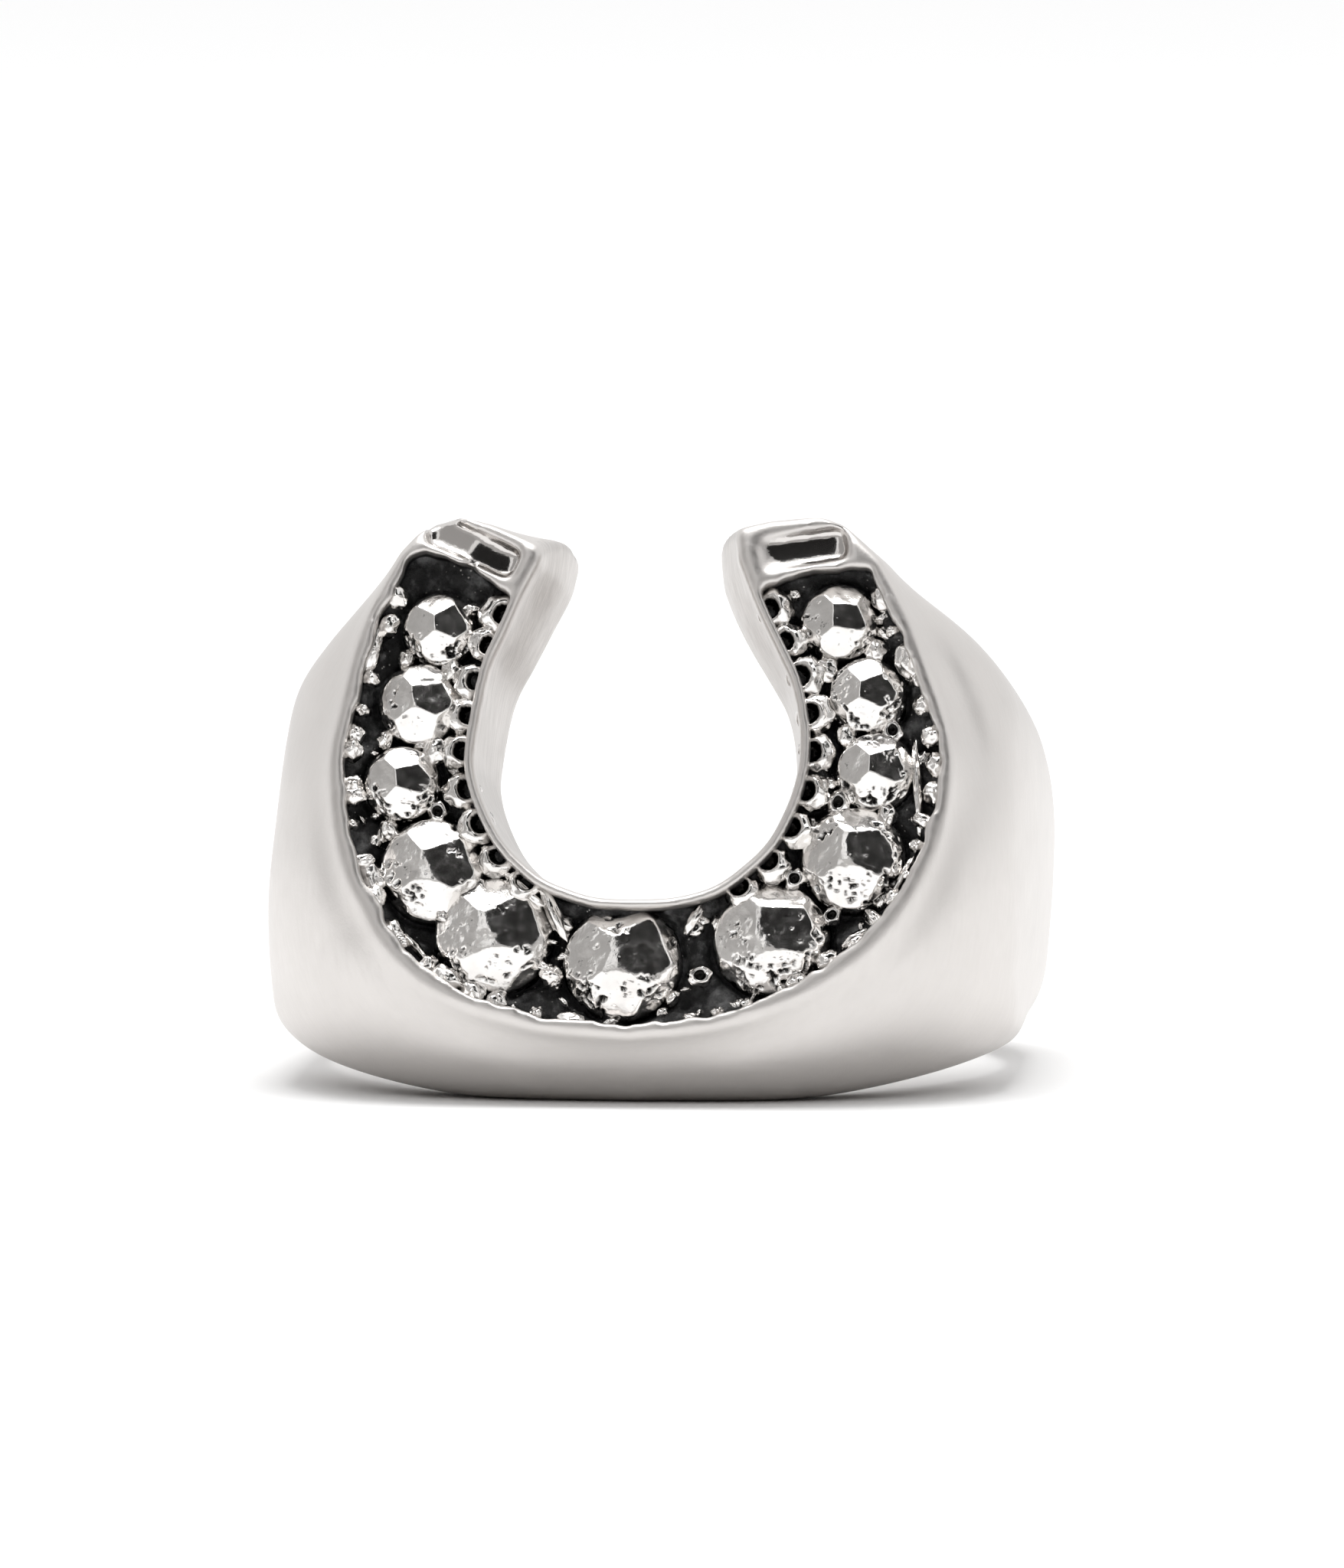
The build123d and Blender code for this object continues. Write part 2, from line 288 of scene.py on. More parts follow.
def front_outline():
    """Seen from the front: barrel sides, sloping shoulders and a curved sole."""
    right = smooth_path([(4.9, 8.3), (6.8, 7.15), (8.5, 6.05), (10.0, 4.95), (11.35, 3.7), (11.85, 2.2),
                         (11.9, 0.2), (11.65, -2.2), (11.25, -4.4), (10.85, -6.0), (8.6, -7.45),
                         (4.5, -8.75), (0, -9.15)])
    left = smooth_path([(-4.9, 8.3), (-6.7, 7.15), (-8.15, 5.95), (-9.35, 4.7), (-10.35, 3.5),
                        (-10.8, 2.0), (-11.15, 0.0), (-11.5, -2.4), (-11.3, -4.6), (-10.8, -6.0),
                        (-8.6, -7.45), (-4.5, -8.75), (0, -9.15)])
    return np.vstack([right, left[::-1][1:]])


def horseshoe(right, left, end_right, end_left):
    """A closed outline from two half outlines that start at the toe, and the ends of the branches."""
    return np.vstack([smooth_path(right), end_right, end_left[::-1], smooth_path(left)[::-1][:-1]])


GAP_OUTLINE = horseshoe(GAP_RIGHT, GAP_LEFT, GAP_END_RIGHT, GAP_END_LEFT)
CHANNEL_OUTLINE = horseshoe(OUTER_RIGHT, OUTER_LEFT, CHANNEL_END_RIGHT, CHANNEL_END_LEFT)
HEAD_OUTLINE = horseshoe(OUTER_RIGHT, OUTER_LEFT, HEEL_RIGHT, HEEL_LEFT)


# ---------------------------------------------------------------- materials

def material(name):
    """A new material with its nodes and links."""
    made = bpy.data.materials.new(name)
    made.use_nodes = True
    return made, made.node_tree.nodes, made.node_tree.links


def mapped(nodes, links, stretch=(1, 1, 1), kind="ShaderNodeTexNoise", **inputs):
    """A texture in the object's own millimetres, stretched by that much along each axis."""
    place = nodes.new("ShaderNodeTexCoord")
    mapping = nodes.new("ShaderNodeMapping")
    mapping.inputs["Scale"].default_value = [s / MM for s in stretch]
    links.new(place.outputs["Object"], mapping.inputs["Vector"])
    texture = nodes.new(kind)
    links.new(mapping.outputs["Vector"], texture.inputs["Vector"])
    for key, value in inputs.items():
        texture.inputs[key].default_value = value
    return texture


def ramp(nodes, links, factor, stops):
    """A colour ramp with these (place, colour) stops. A plain number is a grey."""
    made = nodes.new("ShaderNodeValToRGB")
    links.new(factor, made.inputs["Fac"])
    band = made.color_ramp
    while len(band.elements) < len(stops):
        band.elements.new(0.5)
    for element, (place, colour) in zip(band.elements, stops):
        element.position = place
        element.color = (*colour, 1) if isinstance(colour, tuple) else (colour, colour, colour, 1)
    return made.outputs["Color"]


def blend(nodes, links, factor, a, b, mode="MIX"):
    """A colour mix of two sockets or colours."""
    mix = nodes.new("ShaderNodeMix")
    mix.data_type = "RGBA"
    mix.blend_type = mode
    for socket, value in ((mix.inputs["Factor"], factor), (mix.inputs["A"], a), (mix.inputs["B"], b)):
        if isinstance(value, bpy.types.NodeSocket):
            links.new(value, socket)
        elif isinstance(value, tuple):
            socket.default_value = (*value, 1)
        else:
            socket.default_value = value
    return mix.outputs["Result"]


def attribute(nodes, name):
    """The number that paint() stored under this name."""
    made = nodes.new("ShaderNodeAttribute")
    made.attribute_name = name
    return made.outputs["Fac"]


def bump(nodes, links, height, distance):
    """A normal for fine relief of this many millimetres."""
    made = nodes.new("ShaderNodeBump")
    made.inputs["Distance"].default_value = distance * MM
    links.new(height, made.inputs["Height"])
    return made.outputs["Normal"]


SILVER = (0.68, 0.655, 0.635)
HAZY_SILVER = (0.74, 0.72, 0.70)
BRIGHT_SILVER = (0.88, 0.86, 0.84)
OXIDE = (0.012, 0.0115, 0.011)


def satin_silver():
    """Hand-finished silver: a soft sheen, faint brushing, and black oxide where the mask says."""
    made, nodes, links = material("satin silver")
    shader = nodes["Principled BSDF"]
    shader.inputs["Metallic"].default_value = 1.0
    cloud = mapped(nodes, links, Scale=0.5, Detail=3.0)
    dull = tuple(0.96 * c for c in SILVER)
    tone = ramp(nodes, links, cloud.outputs["Fac"], [(0.3, dull), (0.7, SILVER)])
    grain = mapped(nodes, links, (1, 6, 0.7), Scale=2.2, Detail=4.0)
    brushing = mapped(nodes, links, (2.5, 9, 0.35), Scale=1.6, Detail=3.0)
    wall = attribute(nodes, "wall")
    oxide = attribute(nodes, "oxide")
    brushed = ramp(nodes, links, brushing.outputs["Fac"], [(0.35, 0.86), (0.65, 1.0)])
    tone = blend(nodes, links, wall, tone, blend(nodes, links, 1.0, tone, brushed, "MULTIPLY"))
    links.new(blend(nodes, links, oxide, tone, OXIDE), shader.inputs["Base Color"])
    rough = ramp(nodes, links, grain.outputs["Fac"], [(0.3, 0.36), (0.7, 0.46)])
    polish = attribute(nodes, "polish")
    rough = blend(nodes, links, polish, rough, (0.13, 0.13, 0.13))
    links.new(rough, shader.inputs["Roughness"])
    fine = mapped(nodes, links, Scale=14.0, Detail=2.0)
    links.new(bump(nodes, links, fine.outputs["Fac"], 0.003), shader.inputs["Normal"])
    return made


def polished_silver():
    """Bright facets and beads, darkened in their pits and where they sink into the channel."""
    made, nodes, links = material("polished silver")
    shader = nodes["Principled BSDF"]
    shader.inputs["Metallic"].default_value = 1.0
    oxide = attribute(nodes, "oxide")
    haze = mapped(nodes, links, Scale=1.6, Detail=5.0)
    tone = ramp(nodes, links, haze.outputs["Fac"], [(0.25, HAZY_SILVER), (0.6, BRIGHT_SILVER)])
    specks = mapped(nodes, links, Scale=3.2, Detail=8.0, Roughness=0.75)
    flecks = ramp(nodes, links, specks.outputs["Fac"], [(0.6, 0.0), (0.68, 0.85)])
    tone = blend(nodes, links, flecks, tone, OXIDE)
    links.new(blend(nodes, links, oxide, tone, OXIDE), shader.inputs["Base Color"])
    worn = mapped(nodes, links, Scale=3.0, Detail=4.0)
    rough = ramp(nodes, links, worn.outputs["Fac"], [(0.3, 0.12), (0.7, 0.24)])
    links.new(rough, shader.inputs["Roughness"])
    dents = mapped(nodes, links, Scale=2.4, Detail=4.0)
    links.new(bump(nodes, links, dents.outputs["Fac"], 0.03), shader.inputs["Normal"])
    return made


def black_channel():
    """The blackened floor of the channel: coarse, patchy, with bright specks worn through."""
    made, nodes, links = material("black channel")
    shader = nodes["Principled BSDF"]
    patches = mapped(nodes, links, Scale=1.3, Detail=6.0, Roughness=0.65)
    tone = ramp(nodes, links, patches.outputs["Fac"], [(0.36, 0.003), (0.5, 0.014), (0.68, 0.16)])
    specks = mapped(nodes, links, kind="ShaderNodeTexVoronoi", Scale=4.2)
    bright = ramp(nodes, links, specks.outputs["Distance"], [(0.06, 1.0), (0.16, 0.0)])
    where = mapped(nodes, links, Scale=1.1, Detail=2.0)
    some = ramp(nodes, links, where.outputs["Fac"], [(0.48, 0.0), (0.55, 1.0)])
    speck = blend(nodes, links, 1.0, bright, some, "MULTIPLY")
    worn = attribute(nodes, "worn")
    speck = blend(nodes, links, 1.0, speck, worn, "ADD")
    links.new(blend(nodes, links, speck, tone, (0.8, 0.78, 0.75)), shader.inputs["Base Color"])
    links.new(ramp(nodes, links, speck, [(0.0, 0.0), (1.0, 1.0)]), shader.inputs["Metallic"])
    rough = ramp(nodes, links, patches.outputs["Fac"], [(0.3, 0.65), (0.7, 0.3)])
    links.new(rough, shader.inputs["Roughness"])
    crumbs = mapped(nodes, links, Scale=5.0, Detail=5.0, Roughness=0.7)
    links.new(bump(nodes, links, crumbs.outputs["Fac"], 0.14), shader.inputs["Normal"])
    return made


silver = satin_silver()
polished = polished_silver()
black = black_channel()
noise = Noise(7)


# ---------------------------------------------------------------- the casting

def channel_distance(grid):
    """The sunk channel between the rims, seen from the front; negative inside."""
    x, z = [a.ravel() for a in np.broadcast_arrays(grid.x[:, 0], grid.z[0])]
    places = np.column_stack([x, 0 * x, z])
    ragged = 0.09 * noise(places, 0.5) + 0.05 * noise(places, 0.22)
    outer = grid.in_front(CHANNEL_OUTLINE) + ragged.reshape(grid.shape[0], 1, grid.shape[2])
    return soft_max(outer, INNER_RIM - grid.in_front(GAP_OUTLINE), 0.1)


def face_height(beyond):
    """How far the shoulders fall back from the face at a distance beyond the horseshoe's edge."""
    out = np.maximum(beyond, 0)
    return 0.06 * out + 0.24 * out * out


def valley(beyond, x, y, z):
    """The shallow valley beside the rim, deeper on the right and fading towards the toe."""
    depth = 0.06 + 0.3 * smoothstep(2.0, 8.0, x)
    reach = smoothstep(-2.0, 2.5, z) * (1 - smoothstep(3.5, 6.0, z)) * (1 - smoothstep(-12.0, -8.0, y))
    return depth * reach * np.exp(-(((beyond - 0.8) / 0.75) ** 2))


def on_hollow(x, z, middle, turn):
    """Places measured along and across a heel's hollow."""
    cosine, sine = math.cos(math.radians(turn)), math.sin(math.radians(turn))
    x, z = x - middle[0], z - middle[1]
    return x * cosine + z * sine, z * cosine - x * sine


def heel_hollow(grid, middle, half_length, half_width, turn, slopes):
    """The polished hollow in the end of a branch, its floor leaning away to either side and up."""
    to_left, to_right, up = slopes
    u, v = on_hollow(grid.x, grid.z, middle, turn)
    edge = soft_max(np.abs(u) - half_length, np.abs(v) - half_width, 0.35)
    lean = soft_max(-to_left * u, to_right * u, 0.1) + up * v
    return soft_max(edge, grid.y - (FACE_Y + HEEL_HOLLOW_DEPTH + lean), 0.3)


def shank_and_head(grid):
    """The outside of the ring: shank and shoulders, with the horseshoe's block standing on them."""
    x, y, z = grid.x, grid.y, grid.z
    beyond = grid.in_front(HEAD_OUTLINE)
    shoulders = soft_max(grid.in_plan(plan_outline()), grid.in_side(side_outline()), SHOULDER_ROUNDING)
    shoulders = soft_max(shoulders, grid.in_front(front_outline()), SHOULDER_ROUNDING)
    shoulders = shoulders - SHOULDER_FULLNESS
    shoulders = soft_max(shoulders, FACE_Y - 0.1 + face_height(beyond) - y, 2.0)
    shoulders = shoulders + valley(beyond, x, y, z)
    head = beyond - RIM_WIDTH - HEAD_DRAFT * (y - FACE_Y)
    head = soft_max(head, FACE_Y - y, 0.25)
    head = soft_max(head, y - HEAD_BACK_Y, 0.5)
    return soft_min(shoulders, head, 0.9)


def casting():
    """Shank, shoulders and horseshoe head as one body, hollowed for the finger and the stones."""
    grid = Grid((-12.6, -14.3, -9.3), (12.6, 12.2, 9.2), CASTING_STEP)
    x, y, z = grid.x, grid.y, grid.z
    body = shank_and_head(grid)
    # The gap's walls lean in behind the heels.
    narrowing = 0.35 * smoothstep(2.5, 6.5, z) * smoothstep(-13.6, -11.0, y)
    gap = np.maximum(grid.in_front(GAP_OUTLINE) + GAP_DRAFT * (y - FACE_Y) + narrowing, y)
    body = soft_max(body, -gap, 0.3)
    finger = np.sqrt(x * x + y * y) - BORE_RADIUS
    body = soft_max(body, -finger, 0.6)
    channel = np.maximum(channel_distance(grid), y - FACE_Y - CHANNEL_DEPTH)
    body = soft_max(body, -channel, 0.1)
    for hollow in HEEL_HOLLOWS:
        body = soft_max(body, -heel_hollow(grid, *hollow), 0.22)
    # The sole and the shank are flat where they touch the table.
    above_table = RING_CENTRE[2] + y * BACKWARD[2] + z * FINGER_AXIS[2]
    body = soft_max(body, -above_table.astype(np.float32), 0.1)
    points, faces = grid.surface(body)
    points = relaxed(points, faces)
    # A hand-finished surface is never quite true.
    wobble = 0.012 * noise(points, 1.7) + 0.02 * noise(points + 9, 4.0)
    points = points + wobble[:, None] * np.array([0.7, 0.3, 0.6])
    paint_casting(new_piece("cast_ring_body", points, faces, silver, "ring_body"), points)


def paint_casting(piece, points):
    """Marks the blackened channel walls, the brushed gap walls and the polished heels."""
    x, y, z = points.T
    depth = y - FACE_Y
    gap_side = outline_distance(GAP_OUTLINE, x, z)
    in_channel = np.maximum(outline_distance(CHANNEL_OUTLINE, x, z), INNER_RIM - gap_side)
    deep = smoothstep(0.15, 0.5, depth) * (depth < CHANNEL_DEPTH + 0.3)
    paint(piece, "oxide", deep * (in_channel < 0.15))
    paint(piece, "wall", (gap_side < 0.3) & (depth > 0.3) & (np.hypot(x, y) > BORE_RADIUS + 0.05))
    polish = np.zeros(len(points))
    for middle, half_length, half_width, turn, _ in HEEL_HOLLOWS:
        u, v = on_hollow(x, z, middle, turn)
        edge = np.maximum(np.abs(u) - half_length, np.abs(v) - half_width)
        inside = 1 - smoothstep(-0.1, 0.15, edge)
        polish = np.maximum(polish, inside * (depth < 1.0) * (depth > 0.06))
    paint(piece, "polish", polish)


# ---------------------------------------------------------------- what the channel holds

def channel_bed():
    """The rough floor of the channel, banked up against both walls, with a crevice round each stone."""
    grid = Grid((-9.4, -13.9, -7.4), (9.6, -12.1, 7.6), BED_STEP)
    edge = channel_distance(grid)
    bank = 0.35 * smoothstep(-0.55, 0.0, edge)
    slab = np.maximum(FACE_Y + BED_DEPTH - bank - grid.y, grid.y - BED_BOTTOM_Y)
    points, faces = grid.surface(np.maximum(edge - 0.1, slab))
    # Only the side that can be seen is rough.
    top = points[:, 1] < BED_BOTTOM_Y - 0.15
    flat = points * [1, 0, 1]
    rough = 0.2 * noise(flat, 0.7) + 0.16 * noise(flat + 5, 0.32)
    rough += 0.08 * noise(flat + 3, 0.16)
    for x, z, radius in ALL_STONES:
        from_edge = np.hypot(points[:, 0] - x, points[:, 2] - z) - 1.02 * radius
        rough -= 0.3 * np.exp(-((from_edge / 0.13) ** 2))
    raised = np.minimum(points[:, 1] - rough - 0.12, BED_BOTTOM_Y - 0.1)
    points[:, 1] = np.where(top, raised, points[:, 1])
    piece = new_piece("channel_bed", points, faces, black, "channel_enamel")
    paint(piece, "worn", smoothstep(0.24, 0.31, rough) * top)


def directions(angles, columns):
    """Unit directions in rings round -Y, at these angles from it, with their quads and index."""
    theta = angles[:, None]
    phi = np.linspace(0, 2 * math.pi, columns, endpoint=False)[None, :]
    rings = (np.sin(theta) * np.cos(phi), -np.cos(theta), np.sin(theta) * np.sin(phi))
    d = np.stack(np.broadcast_arrays(*rings), -1).reshape(-1, 3)
    index = np.arange(len(angles) * columns).reshape(-1, columns)
    turned = np.roll(index, -1, axis=1)
    quads = np.stack([index[:-1], index[1:], turned[1:], turned[:-1]], -1).reshape(-1, 4)
    return d, quads, index


def crown(radius, height, facets, wave):
    """Points of a faceted crown that ends just past its girdle at y = 0, with its quads and index."""
    d, quads, index = directions(np.linspace(0.004, math.radians(97), 64), 132)
    across = np.hypot(d[:, 0], d[:, 2]) / radius
    reach = 1 / (across ** 2.5 + np.abs(d[:, 1] / height) ** 2.5) ** 0.4
    for normal, share in facets:
        facing = d @ normal
        distance = share * np.linalg.norm(normal * [radius, height, radius])
        cut = np.where(facing > 0.05, distance / np.maximum(facing, 0.05), 99)
        reach = soft_min(reach, cut, 0.03)
    return d * (reach * (1 + wave(d)))[:, None], quads, index


def closed_below(points, quads, index):
    """Points and faces of a crown with an upright skirt under its last ring, closed at the bottom."""
    last = index[-1]
    skirt = points[last] + [0, STONE_SKIRT, 0]
    ring = len(points) + np.arange(len(skirt))
    under = len(points) + len(skirt)
    side = np.stack([last, ring, np.roll(ring, -1), np.roll(last, -1)], -1)
    faces = quads.tolist() + side.tolist()
    faces += [[int(a), under, int(b)] for a, b in zip(ring, np.roll(ring, -1))]
    faces.append(index[0][::-1].tolist())
    return np.vstack([points, skirt, [[0.0, STONE_SKIRT + 0.1, 0.0]]]), faces


def cut_stone(name, cad_node, x, z, radius, seed):
    """A cast, faceted stone with lumps, pits and an upright skirt sunk in the channel's floor."""
    chance = np.random.default_rng(seed)
    height = 0.95 + 0.16 * radius
    facets = []
    for azimuth, elevation, stray_across, stray_up, share in FACETS:
        azimuth += stray_across * chance.uniform(-1, 1)
        elevation += stray_up * chance.uniform(-1, 1)
        facets.append((outward(azimuth, elevation), share))
    shift = chance.uniform(0, 50, 3)

    def wave(d):
        place = d * radius + shift
        low = smoothstep(0.35, 0.95, np.hypot(d[:, 0], d[:, 2]))
        pits = np.maximum(noise(place, 0.17) + 0.6 * noise(place, 0.09) - 0.2, 0)
        patch = smoothstep(-0.1, 0.4, noise(place, 0.8) + 0.5 * (d[:, 2] < -0.3) - 0.1)
        lumps = 0.022 * noise(place, 0.6) + 0.008 * noise(place, 0.25)
        return lumps - 0.16 * pits * low * patch

    points, quads, index = crown(radius, height, facets, wave)
    pit = np.maximum(-wave(points / np.linalg.norm(points, axis=1)[:, None]), 0)
    points, faces = closed_below(points, quads, index)
    centre = np.array([x, FACE_Y + height - STONE_PROUD, z])
    piece = new_piece(name, points + centre, faces, polished, cad_node)
    bed = BED_DEPTH + STONE_PROUD - height
    sunk = smoothstep(bed - 0.36, bed - 0.1, points[:, 1])
    dark = np.zeros(len(points))
    dark[:len(pit)] = smoothstep(0.02, 0.05, pit)
    paint(piece, "oxide", np.maximum(dark, sunk))


def stones():
    """All eleven stones, ranked down each branch as the CAD's are."""
    cut_stone("cut_stone_toe", "stone_toe", *TOE_STONE, 50)
    for side, places, seed in (("right", RIGHT_STONES, 60), ("left", LEFT_STONES, 70)):
        for i, place in enumerate(places):
            cad_node = f"stone_{side}_{len(places) - i}"
            cut_stone(f"cut_{cad_node}", cad_node, *place, seed + i)


def along_path(points, pitch, start, stop):
    """Evenly spaced places on a curve with the direction along it, from start to stop as lengths."""
    path = smooth_path(points, 40)
    length = np.concatenate([[0], np.cumsum(np.linalg.norm(np.diff(path, axis=0), axis=1))])
    count = max(int((length[-1] - start - stop) / pitch), 1)
    for s in start + pitch * (np.arange(count) + 0.5):
        here, ahead = [np.array([np.interp(t, length, column) for column in path.T]) for t in (s, s + 0.05)]
        yield here, (ahead - here) / np.linalg.norm(ahead - here)


def bead(middle, along, half_long, half_across, half_deep, depth, seed, dish=0.0, cup_shift=0.0):
    """A lumpy cast bead, or a dished one like a little cup: points, faces, and how dark each point is."""
    d, quads, index = directions(np.linspace(0.02, math.pi - 0.02, 22), 32)
    flat = np.hypot(d[:, 0], d[:, 2] + cup_shift)
    front = d[:, 1] < 0
    cup = dish * (1 - smoothstep(0.25, 0.66, flat)) * front
    shape = d * [half_long, half_deep, half_across]
    shape[:, 1] *= 1 - cup
    lumps = 1 + 0.16 * noise(d * 2.2 + seed * 3.7, 1.0) + 0.06 * noise(d * 5 + seed * 1.3, 1.0)
    shape = shape * lumps[:, None]
    across = np.array([-along[1], along[0]])
    place = middle + shape[:, :1] * along + shape[:, 2:3] * across
    points = np.column_stack([place[:, 0], FACE_Y + depth + shape[:, 1], place[:, 1]])
    faces = quads.tolist() + [index[0][::-1].tolist(), index[-1].tolist()]
    dark = (1 - smoothstep(0.48, 0.62, flat)) * front * (dish > 0)
    return points, faces, np.maximum(dark, smoothstep(-0.15, 0.3, d[:, 1]))


def joined_beads(name, cad_node, beads):
    """One piece from many beads."""
    points, faces, dark = [], [], []
    start = 0
    for bead_points, bead_faces, bead_dark in beads:
        points.append(bead_points)
        faces += [[i + start for i in face] for face in bead_faces]
        dark.append(bead_dark)
        start += len(bead_points)
    piece = new_piece(name, np.vstack(points), faces, polished, cad_node)
    paint(piece, "oxide", np.concatenate(dark))


def beside(here, along, distance):
    """A place moved off a curve by a distance, to the left of its direction."""
    return here + distance * np.array([-along[1], along[0]])


def rows_of_beads():
    """Cupped scallops along the gap's rim and uneven beads along the channel's outer wall."""
    chance = np.random.default_rng(3)
    inner, outer = [], []
    for path, turn, pitch in ((GAP_LEFT, 1, 1.06), (GAP_RIGHT, -1, 1.12)):
        for i, (here, along) in enumerate(along_path(path, pitch, 2.6, 1.0)):
            middle = beside(here, along, turn * (INNER_RIM + 0.22))
            size = chance.uniform(0.92, 1.08)
            inner.append(bead(middle, along, 0.58 * size, 0.56 * size, 0.5, 0.54, 20 + i, 0.9, turn * 0.3))
    for path, turn, pitch in ((OUTER_LEFT, -1, 0.8), (OUTER_RIGHT, 1, 0.9)):
        for i, (here, along) in enumerate(along_path(path, pitch, 1.4, 0.3)):
            size = chance.uniform(0.45, 1.25)
            here = here + along * chance.uniform(-0.25, 0.25)
            middle = beside(here, along, turn * chance.uniform(0.0, 0.22))
            long = 0.3 * chance.uniform(0.7, 1.7)
            depth = 0.4 + 0.25 * chance.random()
            outer.append(bead(middle, along, long * size, 0.36 * size, 0.4, depth, 50 + i))
    joined_beads("inner_scallops", "inner_beads", inner)
    joined_beads("outer_scallops", "outer_beads", outer)


def crumbs(chance, most):
    """Small crumbs of metal scattered over the channel's floor, clear of the stones."""
    places = chance.uniform((-9.0, -7.0), (9.2, 6.8), (900, 2))
    x, z = places.T
    clear = outline_distance(CHANNEL_OUTLINE, x, z) < -0.15
    clear &= outline_distance(GAP_OUTLINE, x, z) > INNER_RIM + 0.15
    for stone_x, stone_z, radius in ALL_STONES:
        clear &= np.hypot(x - stone_x, z - stone_z) > 0.97 * radius
    made = []
    for i, place in enumerate(places[clear][:most]):
        turn = chance.uniform(0, math.pi)
        along = np.array([math.cos(turn), math.sin(turn)])
        size = chance.uniform(0.09, 0.24)
        length = size * chance.uniform(1.0, 2.2)
        made.append(bead(place, along, length, size, 0.3, 0.84, 200 + i))
    return made


def holding_grains():
    """Irregular grains between neighbouring stones, and the ridges and crumbs round them."""
    chance = np.random.default_rng(11)
    grains = []
    for places in (RIGHT_STONES, LEFT_STONES):
        line = [TOE_STONE, *places]
        for a, b in zip(line[:-1], line[1:]):
            a, b = np.array(a), np.array(b)
            step = (b - a)[:2]
            gap_middle = a[:2] + step * a[2] / (a[2] + b[2])
            along = step / np.linalg.norm(step)
            for sideways in (-0.72, 0.78):
                middle = beside(gap_middle, along, sideways + chance.uniform(-0.08, 0.08))
                size = chance.uniform(0.26, 0.4)
                seed, dish = chance.integers(99), chance.choice([0, 0.6])
                grains.append(bead(middle, along, size * 1.15, size, 0.34, 0.72, seed, dish))
    for middle, along, half_long, half_across in RIDGES:
        along = np.array(along) / np.linalg.norm(along)
        grains.append(bead(np.array(middle), along, half_long, half_across, 0.4, 0.62, len(grains)))
    grains += crumbs(chance, 60)
    joined_beads("holding_grains", "setting_grains", grains)


# ---------------------------------------------------------------- light and camera

TOWARDS_CAMERA = Vector(outward(5.0, 4.7))
CAMERA_DISTANCE = 600 * MM
AIM = Vector(RING_CENTRE + [0.01, 0.24, 2.99]) * MM
LENS = 450.4
SENSOR = 36


def add_camera():
    """A long lens a little to the right of the ring and just above it."""
    data = bpy.data.cameras.new("camera")
    data.lens = LENS
    data.sensor_width = data.sensor_height = SENSOR
    data.sensor_fit = "AUTO"
    data.clip_start, data.clip_end = 0.01, 20
    camera = bpy.data.objects.new("camera", data)
    camera.location = AIM + TOWARDS_CAMERA * CAMERA_DISTANCE
    camera.rotation_euler = (-TOWARDS_CAMERA).to_track_quat("-Z", "Y").to_euler()
    bpy.context.scene.collection.objects.link(camera)
    bpy.context.scene.camera = camera


def stage_mesh(name, points, faces, look):
    """A mesh that belongs to the studio, not to the ring."""
    mesh = bpy.data.meshes.new(name)
    mesh.from_pydata(points, [], faces)
    mesh.materials.append(look)
    thing = bpy.data.objects.new(name, mesh)
    bpy.context.scene.collection.objects.link(thing)
    return thing


def add_floor():
    """A plain pale table, wide enough to run to the horizon."""
    made, nodes, links = material("pale floor")
    shader = nodes["Principled BSDF"]
    shader.inputs["Base Color"].default_value = (0.93, 0.93, 0.93, 1)
    shader.inputs["Roughness"].default_value = 0.9
    shader.inputs["Specular IOR Level"].default_value = 0.2
    half = 3.0
    corners = [(-half, -half, 0), (half, -half, 0), (half, half, 0), (-half, half, 0)]
    stage_mesh("floor", corners, [(0, 1, 2, 3)], made)


CARD_RADIUS = 0.22
CARD_STEPS = 12
CARD_CENTRE = np.array([0, 0, 0.008])


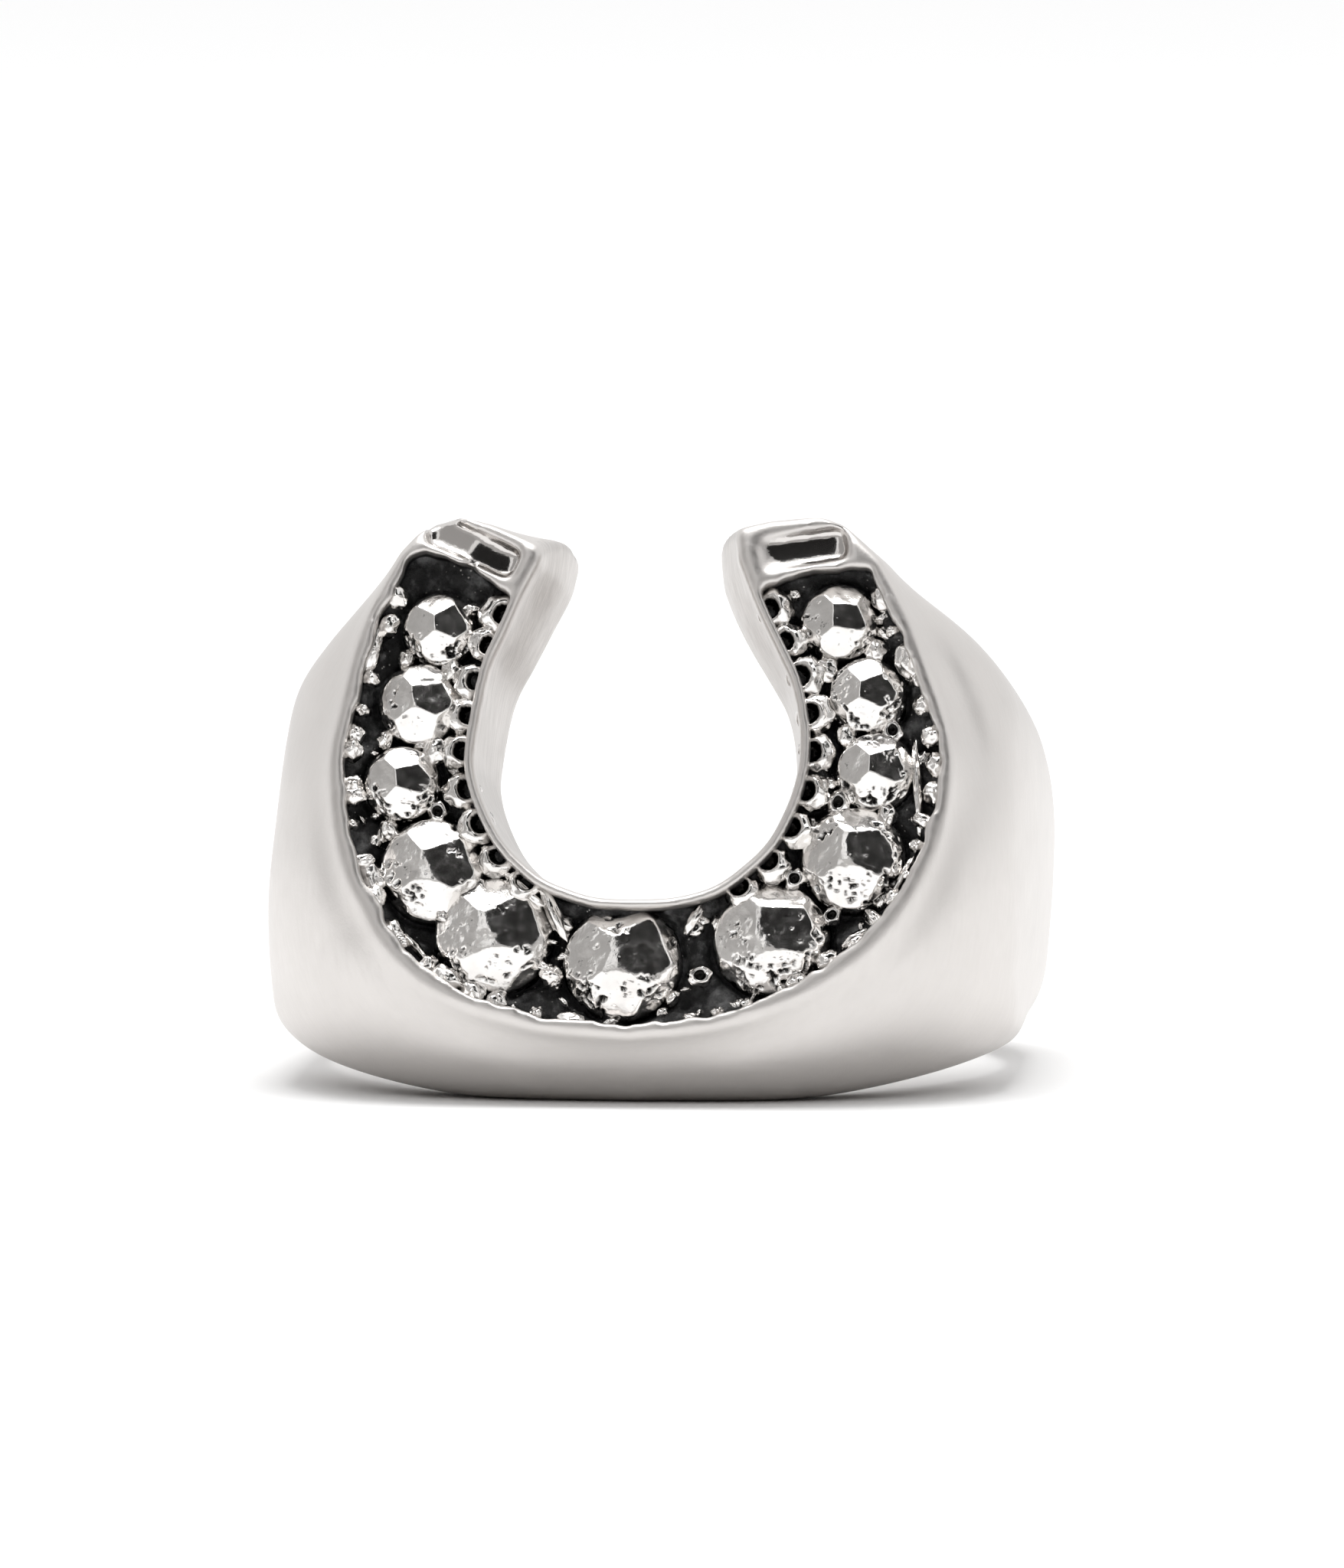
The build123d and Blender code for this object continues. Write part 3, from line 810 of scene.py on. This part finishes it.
def add_card(name, azimuths, elevations, brightness, in_reflections=True, on_floor=False):
    """A curved studio card round the ring, out of the camera's sight."""
    row = CARD_STEPS + 1
    points = []
    for elevation in np.linspace(*elevations, row):
        for azimuth in np.linspace(*azimuths, row):
            points.append(CARD_RADIUS * outward(azimuth, elevation) + CARD_CENTRE)
    corners = [i * row + j for i in range(CARD_STEPS) for j in range(CARD_STEPS)]
    faces = [(c, c + 1, c + row + 1, c + row) for c in corners]
    made, nodes, links = material(name)
    nodes.remove(nodes["Principled BSDF"])
    glow = nodes.new("ShaderNodeEmission")
    glow.inputs["Color"].default_value = (1, 0.985, 0.97, 1)
    glow.inputs["Strength"].default_value = brightness
    links.new(glow.outputs["Emission"], nodes["Material Output"].inputs["Surface"])
    card = stage_mesh(name, points, faces, made)
    card.visible_camera = False
    card.visible_glossy = in_reflections
    card.visible_diffuse = on_floor
    card.visible_shadow = False
    card.visible_transmission = False


def add_area(name, place, size, power):
    """A soft rectangular lamp that faces the ring."""
    data = bpy.data.lights.new(name, "AREA")
    data.shape = "RECTANGLE"
    data.size, data.size_y = size
    data.energy = power
    light = bpy.data.objects.new(name, data)
    light.location = place
    light.rotation_euler = (-Vector(place)).to_track_quat("-Z", "Y").to_euler()
    bpy.context.scene.collection.objects.link(light)


def add_light():
    """A white room with a soft lamp overhead, and cards that the polished metal mirrors."""
    world = bpy.data.worlds.new("studio")
    world.use_nodes = True
    world.node_tree.nodes["Background"].inputs["Color"].default_value = (1, 1, 1, 1)
    world.node_tree.nodes["Background"].inputs["Strength"].default_value = 1.0
    bpy.context.scene.world = world
    add_card("dark_front_card", (-4, 58), (18, 60), 0.02)
    add_card("grey_left_card", (-75, -22), (6, 58), 0.42)
    add_card("grey_low_card", (-80, 80), (-2, 17), 0.52)
    add_card("floor_flag", (-85, 85), (-2, 27), 0.0, in_reflections=False, on_floor=True)
    add_area("top_light", (0, -0.02, 0.5), (0.3, 0.25), 1.6)
    bpy.context.scene.view_settings.view_transform = "Standard"


casting()
channel_bed()
stones()
rows_of_beads()
holding_grains()
add_camera()
add_floor()
add_light()
